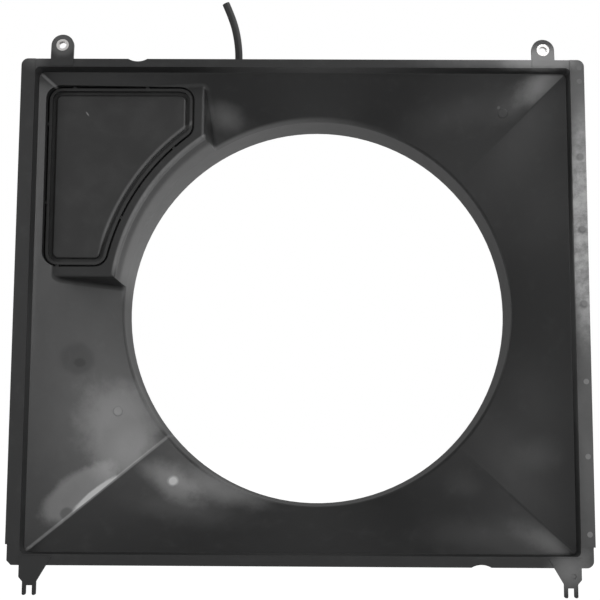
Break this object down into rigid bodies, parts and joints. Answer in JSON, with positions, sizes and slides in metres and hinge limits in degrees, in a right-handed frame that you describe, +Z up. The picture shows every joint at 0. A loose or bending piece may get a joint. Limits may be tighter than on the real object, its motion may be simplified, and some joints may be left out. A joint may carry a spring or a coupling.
{
  "type": "radiator fan shroud",
  "caption": "Moulded plastic radiator fan shroud with a round fan ring, a built-in coolant overflow reservoir with hinged cap and hose, top mounting tabs and forked feet.",
  "frame": {"origin": "on the fan's axis, in the middle of the fan ring's length", "axes": "+X along the radiator's width, to the right when seen from the radiator; +Y along the fan's axis, from the radiator towards the engine; +Z up"},
  "size_m": [0.65, 0.1508, 0.6965],
  "materials": {
    "shroud_plastic": "fine moulded grain, satin black",
    "cover_plastic": "fine moulded grain, satin black",
    "cap_plastic": "smooth moulded black",
    "fitting_plastic": "smooth moulded black",
    "tube_plastic": "smooth extruded tube",
    "seal_rubber": "smooth moulded rubber",
    "hose_rubber": "extruded rubber hose",
    "spring_steel": "phosphated spring steel",
    "plated_steel": "zinc-plated steel"
  },
  "bodies": {
    "shroud": {"shroud_body": "shroud_plastic", "reservoir_cover": "cover_plastic", "cap_strap": "cap_plastic", "nipple_grommet": "seal_rubber", "hose_nipple": "fitting_plastic", "pickup_tube": "tube_plastic", "overflow_hose": "hose_rubber", "hose_clamp": "spring_steel", "limiter_left": "plated_steel", "limiter_right": "plated_steel"},
    "cap": {"filler_cap": "cap_plastic", "cap_seal": "seal_rubber"}
  },
  "joints": [
    {"name": "cap_hinge", "type": "hinge", "parent": "shroud", "child": "cap", "pos_m": [-0.256, -0.0235, 0.2775], "axis": [-1, 0, 0], "range_deg": [0, 115]}
  ]
}
